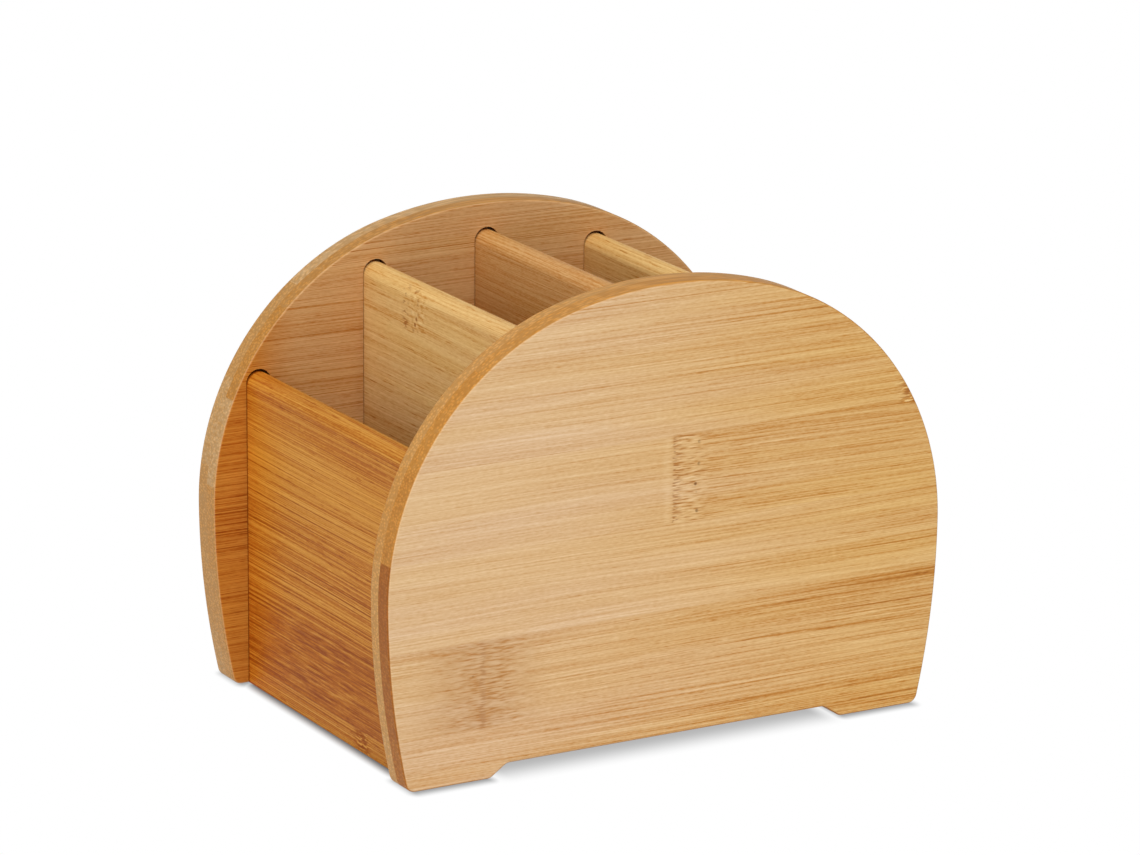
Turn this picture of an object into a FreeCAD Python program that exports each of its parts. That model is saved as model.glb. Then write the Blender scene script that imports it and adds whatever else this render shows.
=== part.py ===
"""Pen holder of laminated bamboo: two arched cheeks of two plies each, five uprights and a floor.

Frame: millimetres, +Z up. The origin is on the table under the middle of the holder, +X runs along
the cheeks to the right as seen from the front, and +Y runs from the front cheek to the rear one.
"""
import FreeCAD, Part
import math
import os

import Sketcher

# Driving sizes: lengths in millimetres, the one angle in degrees.
SIZES = {
    # cheeks: outline, plies, feet and eased edges
    "cheek_width": 150.0,
    "cheek_height": 113.4,
    "overall_depth": 98.8,
    "inner_ply": 4.0,
    "outer_ply": 4.7,
    "shoulder_radius": 66.6,
    "shoulder_sweep": 75.0,
    "flare_radius": 200.0,
    "recess_mouth": 96.0,
    "ramp_run": 4.5,
    "recess_height": 3.1,
    "foot_corner_radius": 1.2,
    "ramp_corner_radius": 1.5,
    "arris_width": 0.4,
    # uprights: two end walls and three dividers, each topped this far under the rim
    "upright_thickness": 6.5,
    "end_wall_inset": 12.4,
    "divider_offset_share": 0.492,
    "end_wall_drop": 6.0,
    "divider_drop": 6.4,
    "middle_divider_drop": 6.9,
    # joinery
    "groove_depth": 3.0,
    "groove_clearance": 0.15,
    "groove_head_gap": 0.7,
    "floor_underside": 4.6,
    "floor_thickness": 4.0,
    "overrun": 5.0,
}


def rim_height(offset):
    """Formula of the height of a cheek's rim at an offset from the centre line."""
    top_arc = f"cheek_height - top_radius + sqrt(top_radius ^ 2 - {offset} ^ 2)"
    shoulder_arc = f"widest_height + sqrt(shoulder_radius ^ 2 - ({offset} - shoulder_centre) ^ 2)"
    return f"({offset} < arcs_meet ? {top_arc} : {shoulder_arc})"


# Sizes that follow from the driving ones, as formulas of the sheet.
DERIVED = {
    "half_width": "cheek_width / 2",
    "recess_roof": "recess_mouth - 2 * ramp_run",
    "end_wall_offset": "half_width - end_wall_inset",
    "divider_offset": "end_wall_offset * divider_offset_share",
    "sweep_cos": "cos(shoulder_sweep * 1deg)",
    "sweep_sin": "sin(shoulder_sweep * 1deg)",
    "top_radius": "(half_width - shoulder_radius * (1 - sweep_cos)) / sweep_cos",
    "widest_height": "cheek_height - shoulder_radius * sweep_sin - top_radius * (1 - sweep_sin)",
    "shoulder_centre": "half_width - shoulder_radius",
    "arcs_meet": "shoulder_centre + shoulder_radius * sweep_cos",
    "inner_depth": "overall_depth - 2 * (inner_ply + outer_ply)",
    "board_length": "inner_depth + 2 * groove_depth",
    "groove_width": "upright_thickness + 2 * groove_clearance",
    "floor_top": "floor_underside + floor_thickness",
    "floor_length": "2 * end_wall_offset - upright_thickness",
    "divider_groove_start": "floor_underside + floor_thickness / 2",
    "end_wall_top": rim_height("end_wall_offset") + " - end_wall_drop",
    "divider_top": rim_height("divider_offset") + " - divider_drop",
    "middle_divider_top": "cheek_height - middle_divider_drop",
}

# Each upright's node, with its kind and the side of the centre line that it stands on.
UPRIGHTS = {
    "left_end_wall": ("end_wall", -1),
    "left_divider": ("divider", -1),
    "middle_divider": ("middle_divider", 0),
    "right_divider": ("divider", 1),
    "right_end_wall": ("end_wall", 1),
}
OFFSETS = {
    "end_wall": "end_wall_offset",
    "divider": "divider_offset",
    "middle_divider": "divider_offset",
}

# How a sketch numbers its own axes, and the points of a line or an arc.
HORIZONTAL_AXIS, VERTICAL_AXIS = range(-1, -3, -1)
START, END, CENTRE = range(1, 4)
ORIGIN = (HORIZONTAL_AXIS, START)
HALF_TURN = 180
SAME_PLACE = 1e-4


def vector(x, z):
    """A point of a sketch, which stands in the plane of X and Z."""
    return FreeCAD.Vector(x, z, 0)


def arc(centre_x, centre_z, radius, start_angle, end_angle):
    """An arc of a sketch, counter-clockwise between two angles in radians."""
    axis = FreeCAD.Vector(0, 0, 1)
    circle = Part.Circle(vector(centre_x, centre_z), axis, radius)
    return Part.ArcOfCircle(circle, start_angle, end_angle)


def size_sheet(doc):
    """The spreadsheet of sizes: plain numbers first, then the formulas that follow from them."""
    sheet = doc.addObject("Spreadsheet::Sheet", "Sizes")
    cells = [(name, str(number)) for name, number in SIZES.items()]
    cells += [(name, "=" + formula) for name, formula in DERIVED.items()]
    for row, (name, content) in enumerate(cells, start=1):
        sheet.set(f"A{row}", name)
        sheet.set(f"B{row}", content)
        sheet.setAlias(f"B{row}", name)
    doc.recompute()
    return sheet


def add_body(doc, node):
    """An empty body whose label names its file."""
    body = doc.addObject("PartDesign::Body", node)
    body.Label = node
    return body


def add_sketch(body, name):
    """A sketch on the body's own plane of X and Z, whose normal points to -Y."""
    sketch = body.newObject("Sketcher::SketchObject", name)
    plane = next(feature for feature in body.Origin.OriginFeatures if feature.Role == "XZ_Plane")
    sketch.AttachmentSupport = [(plane, "")]
    sketch.MapMode = "FlatFace"
    return sketch


def bind(sketch, name, formula, *dimension):
    """Adds a dimension to a sketch and ties it to the sheet."""
    index = sketch.addConstraint(Sketcher.Constraint(*dimension))
    sketch.renameConstraint(index, name)
    sketch.setExpression("Constraints." + name, formula)


def join(sketch, kind, pairs):
    """Joins the end of each first piece of an outline to the start of its second."""
    for first, second in pairs:
        sketch.addConstraint(Sketcher.Constraint(kind, first, END, second, START))


def draw_cheek_outline(sketch, sheet):
    """The arched outline of a cheek: a flat arch on flared sides, standing on two feet."""
    half_width = sheet.get("half_width")
    height = sheet.get("cheek_height")
    widest = sheet.get("widest_height")
    flare = sheet.get("flare_radius")
    shoulder = sheet.get("shoulder_radius")
    shoulder_centre = sheet.get("shoulder_centre")
    top = sheet.get("top_radius")
    mouth = sheet.get("recess_mouth") / 2
    roof = sheet.get("recess_roof") / 2
    roof_height = sheet.get("recess_height")
    sweep = math.radians(sheet.get("shoulder_sweep"))
    flare_sweep = math.asin(widest / flare)
    flare_centre = half_width - flare
    foot = flare_centre + flare * math.cos(flare_sweep)

    right_foot = sketch.addGeometry(Part.LineSegment(vector(mouth, 0), vector(foot, 0)))
    right_flare = sketch.addGeometry(arc(flare_centre, widest, flare, -flare_sweep, 0))
    right_shoulder = sketch.addGeometry(arc(shoulder_centre, widest, shoulder, 0, sweep))
    top_arc = sketch.addGeometry(arc(0, height - top, top, sweep, math.pi - sweep))
    left_shoulder = sketch.addGeometry(
        arc(-shoulder_centre, widest, shoulder, math.pi - sweep, math.pi)
    )
    left_flare = sketch.addGeometry(
        arc(-flare_centre, widest, flare, math.pi, math.pi + flare_sweep)
    )
    left_foot = sketch.addGeometry(Part.LineSegment(vector(-foot, 0), vector(-mouth, 0)))
    left_ramp = sketch.addGeometry(Part.LineSegment(vector(-mouth, 0), vector(-roof, roof_height)))
    roof_line = sketch.addGeometry(
        Part.LineSegment(vector(-roof, roof_height), vector(roof, roof_height))
    )
    right_ramp = sketch.addGeometry(Part.LineSegment(vector(roof, roof_height), vector(mouth, 0)))
    apex = sketch.addGeometry(Part.Point(vector(0, height)))

    chain = [right_flare, right_shoulder, top_arc, left_shoulder, left_flare]
    join(sketch, "Tangent", zip(chain, chain[1:]))
    chain = [left_flare, left_foot, left_ramp, roof_line, right_ramp, right_foot, right_flare]
    join(sketch, "Coincident", zip(chain, chain[1:]))
    mirrored = [
        (right_foot, START, left_foot, END),
        (right_flare, START, left_flare, END),
        (right_shoulder, START, left_shoulder, END),
        (top_arc, START, top_arc, END),
        (roof_line, START, roof_line, END),
    ]
    for pair in mirrored:
        sketch.addConstraint(Sketcher.Constraint("Symmetric", *pair, VERTICAL_AXIS))
    on_object = [
        (right_foot, START, HORIZONTAL_AXIS),
        (right_foot, END, HORIZONTAL_AXIS),
        (top_arc, CENTRE, VERTICAL_AXIS),
        (apex, START, VERTICAL_AXIS),
        (apex, START, top_arc),
    ]
    for place in on_object:
        sketch.addConstraint(Sketcher.Constraint("PointOnObject", *place))
    level = Sketcher.Constraint("Horizontal", right_shoulder, CENTRE, right_shoulder, START)
    sketch.addConstraint(level)

    width = ("DistanceX", left_shoulder, END, right_shoulder, START, 2 * half_width)
    bind(sketch, "width", "Sizes.cheek_width", *width)
    bind(sketch, "height", "Sizes.cheek_height", "DistanceY", *ORIGIN, apex, START, height)
    bind(sketch, "shoulder", "Sizes.shoulder_radius", "Radius", right_shoulder, shoulder)
    bind(sketch, "flare", "Sizes.flare_radius", "Radius", right_flare, flare)
    top_span = ("DistanceX", top_arc, END, top_arc, START, 2 * sheet.get("arcs_meet"))
    bind(sketch, "top_span", "2 * Sizes.arcs_meet", *top_span)
    mouth_span = ("DistanceX", left_foot, END, right_foot, START, 2 * mouth)
    bind(sketch, "mouth", "Sizes.recess_mouth", *mouth_span)
    bind(sketch, "roof", "Sizes.recess_roof", "DistanceX", roof_line, START, roof_line, END, 2 * roof)
    roof_rise = ("DistanceY", *ORIGIN, roof_line, END, roof_height)
    bind(sketch, "roof_height", "Sizes.recess_height", *roof_rise)


def draw_round_headed(sketch, prefix, middle, side, width, bottom, head):
    """An upright strip with a half-round head: the section of an upright, or of its groove.

    middle, width, bottom and head are pairs of a number and its formula: the strip's distance from
    the centre line, its width, the height of its lower end and the height of its head's centre.
    """
    x = side * middle[0]
    half = width[0] / 2
    foot = sketch.addGeometry(
        Part.LineSegment(vector(x - half, bottom[0]), vector(x + half, bottom[0]))
    )
    right = sketch.addGeometry(
        Part.LineSegment(vector(x + half, bottom[0]), vector(x + half, head[0]))
    )
    dome = sketch.addGeometry(arc(x, head[0], half, 0, math.pi))
    left = sketch.addGeometry(
        Part.LineSegment(vector(x - half, head[0]), vector(x - half, bottom[0]))
    )
    join(sketch, "Tangent", [(right, dome), (dome, left)])
    join(sketch, "Coincident", [(left, foot), (foot, right)])
    sketch.addConstraint(Sketcher.Constraint("Horizontal", foot))
    sketch.addConstraint(Sketcher.Constraint("Vertical", right))
    sketch.addConstraint(Sketcher.Constraint("Vertical", left))

    centre = (dome, CENTRE)
    bind(sketch, prefix + "width", width[1], "DistanceX", foot, START, foot, END, width[0])
    bind(sketch, prefix + "head", head[1], "DistanceY", *ORIGIN, *centre, head[0])
    if side == 0:
        sketch.addConstraint(Sketcher.Constraint("PointOnObject", *centre, VERTICAL_AXIS))
    else:
        ends = (*ORIGIN, *centre) if side > 0 else (*centre, *ORIGIN)
        bind(sketch, prefix + "middle", middle[1], "DistanceX", *ends, middle[0])
    start = (foot, START)
    if bottom[0] == 0:
        sketch.addConstraint(Sketcher.Constraint("PointOnObject", *start, HORIZONTAL_AXIS))
    else:
        ends = (*ORIGIN, *start) if bottom[0] > 0 else (*start, *ORIGIN)
        bind(sketch, prefix + "bottom", bottom[1], "DistanceY", *ends, abs(bottom[0]))


def cut(body, name, sketch, depth):
    """Cuts a sketch into the body's inner face, and checks that it took something away."""
    before = body.Shape.Volume
    pocket = body.newObject("PartDesign::Pocket", name)
    pocket.Profile = sketch
    pocket.Reversed = True
    pocket.setExpression("Length", depth)
    body.Document.recompute()
    if body.Shape.Volume >= before:
        raise RuntimeError(f"{name} cuts nothing")


def dress_edges(body, kind, name, size, formula, wanted):
    """Fillets or chamfers the edges of the body's last feature that a test picks."""
    base = body.Tip
    edges = [f"Edge{i}" for i, edge in enumerate(base.Shape.Edges, start=1) if wanted(edge)]
    dressing = body.newObject("PartDesign::" + kind, name)
    dressing.Base = (base, edges)
    dressing.setExpression(size, formula)
    body.Document.recompute()


def lies_along(edge, test):
    """Whether every corner of an edge passes a test."""
    return all(test(corner.Point) for corner in edge.Vertexes)


def is_corner(edge, x, z):
    """Whether an edge runs along Y through a place of the outline or its mirror image."""
    along_y = edge.BoundBox.YLength > edge.BoundBox.XLength
    return along_y and lies_along(
        edge, lambda p: abs(abs(p.x) - x) < SAME_PLACE and abs(p.z - z) < SAME_PLACE
    )


def cheek_ply(doc, sheet, node, thickness, eased_face):
    """One ply of a cheek, with its inner face at Y = 0 and its thickness towards -Y."""
    body = add_body(doc, node)
    outline = add_sketch(body, node + "_outline")
    draw_cheek_outline(outline, sheet)
    board = body.newObject("PartDesign::Pad", node + "_board")
    board.Profile = outline
    board.setExpression("Length", "Sizes." + thickness)
    doc.recompute()

    mouth = sheet.get("recess_mouth") / 2
    roof = sheet.get("recess_roof") / 2
    roof_height = sheet.get("recess_height")
    dress_edges(
        body, "Fillet", node + "_ramp_corners", "Radius", "Sizes.ramp_corner_radius",
        lambda edge: is_corner(edge, mouth, 0) or is_corner(edge, roof, roof_height),
    )
    foot = max(abs(corner.X) for corner in board.Shape.Vertexes if abs(corner.Z) < SAME_PLACE)
    dress_edges(
        body, "Fillet", node + "_foot_corners", "Radius", "Sizes.foot_corner_radius",
        lambda edge: is_corner(edge, foot, 0),
    )
    eased_y = 0 if eased_face == "inner" else -sheet.get(thickness)
    dress_edges(
        body, "Chamfer", node + "_arris", "Size", "Sizes.arris_width",
        lambda edge: lies_along(edge, lambda p: abs(p.y - eased_y) < SAME_PLACE),
    )
    return body


def cut_upright_grooves(body, sheet):
    """The stopped grooves of an inner ply that hold the ends of the uprights."""
    sketch = add_sketch(body, body.Label + "_upright_slots")
    width = sheet.get("groove_width")
    for node, (kind, side) in UPRIGHTS.items():
        offset = OFFSETS[kind]
        head = sheet.get(kind + "_top") + sheet.get("groove_head_gap") - width / 2
        head_formula = f"Sizes.{kind}_top + Sizes.groove_head_gap - Sizes.groove_width / 2"
        if kind == "end_wall":
            bottom = (-sheet.get("overrun"), "Sizes.overrun")
        else:
            bottom = (sheet.get("divider_groove_start"), "Sizes.divider_groove_start")
        draw_round_headed(
            sketch, node + "_", (sheet.get(offset), "Sizes." + offset), side,
            (width, "Sizes.groove_width"), bottom, (head, head_formula),
        )
    cut(body, body.Label + "_upright_grooves", sketch, "Sizes.groove_depth")


def cut_floor_groove(body, sheet):
    """The level groove of an inner ply that holds one edge of the floor panel."""
    sketch = add_sketch(body, body.Label + "_floor_slot")
    half = sheet.get("floor_length") / 2
    low = sheet.get("floor_underside")
    high = sheet.get("floor_top") + sheet.get("groove_clearance")
    corners = [vector(-half, low), vector(half, low), vector(half, high), vector(-half, high)]
    lines = [
        sketch.addGeometry(Part.LineSegment(corner, following))
        for corner, following in zip(corners, corners[1:] + corners[:1])
    ]
    join(sketch, "Coincident", zip(lines, lines[1:] + lines[:1]))
    lower, right, upper, left = lines
    for upright_line in (right, left):
        sketch.addConstraint(Sketcher.Constraint("Vertical", upright_line))
    sketch.addConstraint(Sketcher.Constraint("Horizontal", upper))
    sketch.addConstraint(Sketcher.Constraint("Symmetric", lower, START, lower, END, VERTICAL_AXIS))
    bind(sketch, "length", "Sizes.floor_length", "DistanceX", lower, START, lower, END, 2 * half)
    bind(sketch, "low", "Sizes.floor_underside", "DistanceY", *ORIGIN, lower, START, low)
    high_formula = "Sizes.floor_top + Sizes.groove_clearance"
    bind(sketch, "high", high_formula, "DistanceY", *ORIGIN, upper, START, high)
    cut(body, body.Label + "_floor_groove", sketch, "Sizes.groove_depth")


def place_cheek_ply(body, end, depth):
    """Stands a ply at the front or, turned half round, at the rear, depth from the middle."""
    if end == "rear":
        upright_axis = FreeCAD.Vector(0, 0, 1)
        body.Placement = FreeCAD.Placement(
            FreeCAD.Vector(0, 0, 0), FreeCAD.Rotation(upright_axis, HALF_TURN)
        )
    sign = "" if end == "rear" else "-"
    body.setExpression("Placement.Base.y", f"{sign}({depth})")


def cheek(doc, sheet, end):
    """A cheek: a grooved inner ply and a plain outer ply, glued face to face."""
    inner = cheek_ply(doc, sheet, end + "_cheek_inner_ply", "inner_ply", "inner")
    cut_upright_grooves(inner, sheet)
    cut_floor_groove(inner, sheet)
    place_cheek_ply(inner, end, "Sizes.inner_depth / 2")
    outer = cheek_ply(doc, sheet, end + "_cheek_outer_ply", "outer_ply", "outer")
    place_cheek_ply(outer, end, "Sizes.inner_depth / 2 + Sizes.inner_ply")
    return [inner, outer]


def upright(doc, sheet, node, kind, side):
    """An end wall, which stands on the table, or a divider, which stands on the floor panel."""
    body = add_body(doc, node)
    sketch = add_sketch(body, node + "_section")
    bottom = (0, "0") if kind == "end_wall" else (sheet.get("floor_top"), "Sizes.floor_top")
    head = sheet.get(kind + "_top") - sheet.get("upright_thickness") / 2
    draw_round_headed(
        sketch, "", (0, "0"), 0, (sheet.get("upright_thickness"), "Sizes.upright_thickness"), bottom,
        (head, f"Sizes.{kind}_top - Sizes.upright_thickness / 2"),
    )
    board = body.newObject("PartDesign::Pad", node + "_board")
    board.Profile = sketch
    board.SideType = "Symmetric"
    board.setExpression("Length", "Sizes.board_length")
    if side != 0:
        sign = "" if side > 0 else "-"
        body.setExpression("Placement.Base.x", f"{sign}Sizes.{OFFSETS[kind]}")
    return body


def floor_panel(doc):
    """The floor between the end walls, let into the grooves of both cheeks."""
    panel = doc.addObject("Part::Box", "floor_panel")
    panel.Label = "floor_panel"
    panel.setExpression("Length", "Sizes.floor_length")
    panel.setExpression("Width", "Sizes.board_length")
    panel.setExpression("Height", "Sizes.floor_thickness")
    panel.setExpression("Placement.Base.x", "-Sizes.floor_length / 2")
    panel.setExpression("Placement.Base.y", "-Sizes.board_length / 2")
    panel.setExpression("Placement.Base.z", "Sizes.floor_underside")
    return panel


def check(doc, pieces):
    """Stops if anything failed to compute or a piece is not one valid solid."""
    for item in doc.Objects:
        if "Invalid" in item.State or "Error" in item.State:
            raise RuntimeError(f"{item.Label} failed: {item.State}")
    for piece in pieces:
        shape = piece.Shape
        if shape.isNull() or not shape.isValid() or len(shape.Solids) != 1:
            raise RuntimeError(f"{piece.Label} is not one valid solid")


def main():
    doc = FreeCAD.newDocument("pen_holder")
    sheet = size_sheet(doc)
    pieces = cheek(doc, sheet, "front") + cheek(doc, sheet, "rear")
    pieces += [upright(doc, sheet, node, kind, side) for node, (kind, side) in UPRIGHTS.items()]
    pieces.append(floor_panel(doc))
    doc.recompute()
    check(doc, pieces)
    os.makedirs("parts", exist_ok=True)
    for piece in pieces:
        piece.Shape.exportStep(f"parts/{piece.Label}.step")
        box = piece.Shape.optimalBoundingBox(False)
        print(
            f"{piece.Label}: {piece.Shape.Volume:.0f} mm3,",
            f"X {box.XMin:.2f} to {box.XMax:.2f}, Y {box.YMin:.2f} to {box.YMax:.2f},",
            f"Z {box.ZMin:.2f} to {box.ZMax:.2f}",
        )


main()
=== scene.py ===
"""Pen holder of laminated bamboo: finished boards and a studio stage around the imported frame."""
import math
from dataclasses import dataclass

import bmesh
import bpy
from bpy.props import FloatProperty, FloatVectorProperty, PointerProperty
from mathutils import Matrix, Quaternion, Vector


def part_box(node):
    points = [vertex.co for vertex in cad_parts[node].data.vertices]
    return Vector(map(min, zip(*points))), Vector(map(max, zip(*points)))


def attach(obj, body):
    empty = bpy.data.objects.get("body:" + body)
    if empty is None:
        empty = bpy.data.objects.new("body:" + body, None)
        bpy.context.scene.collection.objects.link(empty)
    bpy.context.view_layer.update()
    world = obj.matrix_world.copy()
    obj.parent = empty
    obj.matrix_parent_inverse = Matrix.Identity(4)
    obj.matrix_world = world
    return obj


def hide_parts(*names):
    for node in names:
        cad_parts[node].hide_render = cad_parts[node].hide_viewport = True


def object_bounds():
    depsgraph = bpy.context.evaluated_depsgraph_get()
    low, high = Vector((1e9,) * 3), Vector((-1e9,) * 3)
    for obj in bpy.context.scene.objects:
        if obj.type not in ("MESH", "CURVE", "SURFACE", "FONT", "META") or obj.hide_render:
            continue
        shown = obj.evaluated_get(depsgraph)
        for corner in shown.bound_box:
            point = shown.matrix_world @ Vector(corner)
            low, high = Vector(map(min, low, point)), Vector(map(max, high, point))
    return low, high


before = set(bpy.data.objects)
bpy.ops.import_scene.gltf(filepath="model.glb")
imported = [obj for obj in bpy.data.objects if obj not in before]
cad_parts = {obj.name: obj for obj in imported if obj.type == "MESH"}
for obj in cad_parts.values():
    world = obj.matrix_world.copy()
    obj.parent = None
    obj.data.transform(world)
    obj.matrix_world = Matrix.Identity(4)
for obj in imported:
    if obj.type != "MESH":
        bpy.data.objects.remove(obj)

bl_info = {
    "name": "Bamboo Pen Holder",
    "version": (1, 0, 0),
    "blender": (4, 5, 0),
    "location": "View3D > Sidebar > Pen Holder",
    "description": "Boards of a bamboo pen holder, their finish and a studio stage",
    "category": "Object",
}

MILLIMETRES = 1000.0
CAD_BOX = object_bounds()
UPRIGHT_NODES = ("left_end_wall", "left_divider", "middle_divider", "right_divider", "right_end_wall")
# Lengths in metres within which points are one, or lie on the table.
SAME_PLACE = 1e-7
ON_TABLE = 1e-6
# Faces that meet at more than this angle keep a sharp edge.
CREASE = math.radians(40)
# How many steps the arcs are drawn in.
RAMP_STEPS = 5
FOOT_STEPS = 8
FLARE_STEPS = 24
SHOULDER_STEPS = 64
CROWN_STEPS = 20
HEAD_STEPS = 28
CORNER_STEPS = 3
ARRIS_STEPS = 5
END_ARRIS_STEPS = 2
WHITE = (1.0, 1.0, 1.0)


def length(name, description, default):
    """A property that holds a length in metres."""
    return FloatProperty(
        name=name, description=description, default=default, unit="LENGTH", precision=5, min=0.0
    )


def angle(name, description, degrees):
    """A property that holds an angle, given in degrees."""
    return FloatProperty(
        name=name, description=description, default=math.radians(degrees), subtype="ANGLE"
    )


def colour(name, description, default):
    """A property that holds a colour."""
    return FloatVectorProperty(
        name=name, description=description, default=default, subtype="COLOR", min=0.0, max=1.0
    )


class PenHolderSizes(bpy.types.PropertyGroup):
    """Shape of the boards, beyond what the frame's boxes give."""

    shoulder_radius: length("Shoulder radius", "Radius of the arch's shoulders", 0.0666)
    shoulder_sweep: angle("Shoulder sweep", "Turn of a shoulder before the flat crown", 75.0)
    flare_radius: length("Flare radius", "Radius of the sides that draw in to the feet", 0.2)
    recess_mouth: length("Recess mouth", "Width between the feet at the table", 0.096)
    ramp_run: length("Ramp run", "Level run of a foot's inner ramp", 0.0045)
    recess_height: length("Recess height", "Height of the recess between the feet", 0.0031)
    foot_corner_radius: length("Foot corner", "Radius of a foot's outer corner", 0.0025)
    ramp_corner_radius: length("Ramp corner", "Radius at both ends of a ramp", 0.0026)
    arris_radius: length("Arris", "Radius of the cheeks' eased edges", 0.0006)
    upright_arris_radius: length("Upright arris", "Radius of the other boards' edges", 0.0003)
    groove_clearance: length("Groove clearance", "Gap at each side of an upright", 0.0001)
    groove_head_gap: length("Groove head gap", "Gap above an upright's round top", 0.0007)


class PenHolderFinish(bpy.types.PropertyGroup):
    """Colours and grain of the lacquered bamboo."""

    cream: colour("Cream", "Palest fibres", (0.88, 0.655, 0.42))
    honey: colour("Honey", "Main colour of the strips", (0.73, 0.475, 0.25))
    amber: colour("Amber", "Warm streaks", (0.58, 0.275, 0.08))
    rust: colour("Rust", "Darkest streaks", (0.36, 0.125, 0.025))
    umber: colour("Umber", "Dashes of the bamboo's nodes", (0.35, 0.118, 0.03))
    bark: colour("Bark", "Pits in the bamboo's nodes", (0.16, 0.062, 0.02))
    dusk: colour("Dusk", "Haze about the sanded nodes", (0.50, 0.26, 0.115))
    gold: colour("Gold", "Tint of the golden stretches", (1.0, 0.95, 0.74))
    rose: colour("Rose", "Tint of the pinkish stretches", (1.0, 0.985, 1.0))
    end_cream: colour("Cream edge", "Edges of the palest strips", (0.78, 0.55, 0.30))
    end_pale: colour("Pale edge", "Edges of the pale strips", (0.57, 0.31, 0.105))
    end_gold: colour("Golden edge", "Edges of the golden strips", (0.545, 0.24, 0.046))
    end_red: colour("Reddish edge", "Edges of the reddish strips", (0.34, 0.108, 0.016))
    roughness: FloatProperty(
        name="Roughness", description="Gloss of the satin lacquer", default=0.44, subtype="FACTOR"
    )
    shine: FloatProperty(
        name="Shine", description="Specular level of the thin lacquer", default=0.08, subtype="FACTOR"
    )
    relief: length("Fibre relief", "Depth of the fibres' relief under the lacquer", 0.00005)
    strip_width: length("Strip width", "Width of a bamboo strip", 0.0212)


class PenHolderStage(bpy.types.PropertyGroup):
    """Camera, lights and floor."""

    azimuth: angle("Azimuth", "Turn of the camera about the holder", -29.737)
    elevation: angle("Elevation", "Height of the camera's view", 15.811)
    roll: angle("Roll", "Turn of the camera about its view", 0.468)
    distance: length("Distance", "From the camera to the point it looks at", 1.3466)
    aim_side: length("Aim side", "How far to the right of the middle the camera looks", 0.0007)
    aim_lift: length("Aim lift", "How far above the middle the camera looks", 0.0092)
    lens: FloatProperty(
        name="Lens", description="Focal length", default=176.14, subtype="DISTANCE_CAMERA"
    )
    sensor: FloatProperty(
        name="Sensor", description="Sensor width", default=36.0, subtype="DISTANCE_CAMERA"
    )
    key_power: FloatProperty(
        name="Key light", description="Power of the main soft light", default=23.0, unit="POWER"
    )
    fill_power: FloatProperty(
        name="Fill light", description="Power of the soft light from the left", default=8.5, unit="POWER"
    )
    room_light: FloatProperty(
        name="Room light", description="Strength of the even light from all round", default=0.46
    )
    floor_colour: colour("Floor", "Colour of the pale floor", (0.86, 0.86, 0.86))
    shadow_reach: length("Shadow reach", "How far the shadow shows before the recess", 0.006)
    shadow_start: length("Shadow start", "How far under the holder that shadow starts to fade", 0.008)
    sole_reach: length("Sole reach", "How far the shadow shows before the feet", 0.0043)
    contact_reach: length("Contact reach", "How far the shadow shows beside the end walls", 0.0033)
    contact_blur: length("Contact blur", "Softness of the shadows where boards meet the floor", 0.0009)


def sizes():
    """The holder's sizes."""
    return bpy.context.scene.pen_holder_sizes


def finish():
    """The holder's finish."""
    return bpy.context.scene.pen_holder_finish


def staging():
    """The stage's settings."""
    return bpy.context.scene.pen_holder_stage


# Board shapes


def arc(centre, radius, start, end, steps, side=1):
    """Points of an arc, each with its outward normal; side is -1 on a hollow corner."""
    places = []
    for step in range(steps + 1):
        turn = start + (end - start) * step / steps
        direction = Vector((math.cos(turn), math.sin(turn)))
        places.append((centre + radius * direction, side * direction))
    return places


def cheek_outline():
    """The cheek's outline in X and Z: a flat crown on round shoulders, flared sides and two feet."""
    size = sizes()
    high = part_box("front_cheek_outer_ply")[1]
    half_width = high.x
    height = high.z
    sweep = size.shoulder_sweep
    shoulder_centre = half_width - size.shoulder_radius
    crown_radius = (shoulder_centre + size.shoulder_radius * math.cos(sweep)) / math.cos(sweep)
    widest = height - crown_radius + (crown_radius - size.shoulder_radius) * math.sin(sweep)
    slope = math.atan2(size.recess_height, size.ramp_run)
    tangent = size.ramp_corner_radius * math.tan(slope / 2)
    mouth = size.recess_mouth / 2
    roof_corner = Vector((mouth - size.ramp_run - tangent, size.recess_height - size.ramp_corner_radius))
    mouth_corner = Vector((mouth + tangent, size.ramp_corner_radius))
    flare_centre = Vector((half_width - size.flare_radius, widest))
    inner_flare = size.flare_radius - size.foot_corner_radius
    foot_drop = widest - size.foot_corner_radius
    foot_reach = math.sqrt(inner_flare ** 2 - foot_drop ** 2)
    foot_corner = Vector((flare_centre.x + foot_reach, size.foot_corner_radius))
    foot_turn = -math.asin(foot_drop / inner_flare)
    down = -math.pi / 2
    right = arc(roof_corner, size.ramp_corner_radius, -down, -down - slope, RAMP_STEPS, side=-1)
    right += arc(mouth_corner, size.ramp_corner_radius, down - slope, down, RAMP_STEPS)
    right += arc(foot_corner, size.foot_corner_radius, down, foot_turn, FOOT_STEPS)
    right += arc(flare_centre, size.flare_radius, foot_turn, 0.0, FLARE_STEPS)[1:]
    shoulder = Vector((shoulder_centre, widest))
    right += arc(shoulder, size.shoulder_radius, 0.0, sweep, SHOULDER_STEPS)[1:]
    crown = Vector((0.0, height - crown_radius))
    right += arc(crown, crown_radius, sweep, -down, CROWN_STEPS)[1:]
    mirror = Vector((-1.0, 1.0))
    left = [(point * mirror, normal * mirror) for point, normal in reversed(right[:-1])]
    return right + left


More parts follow.
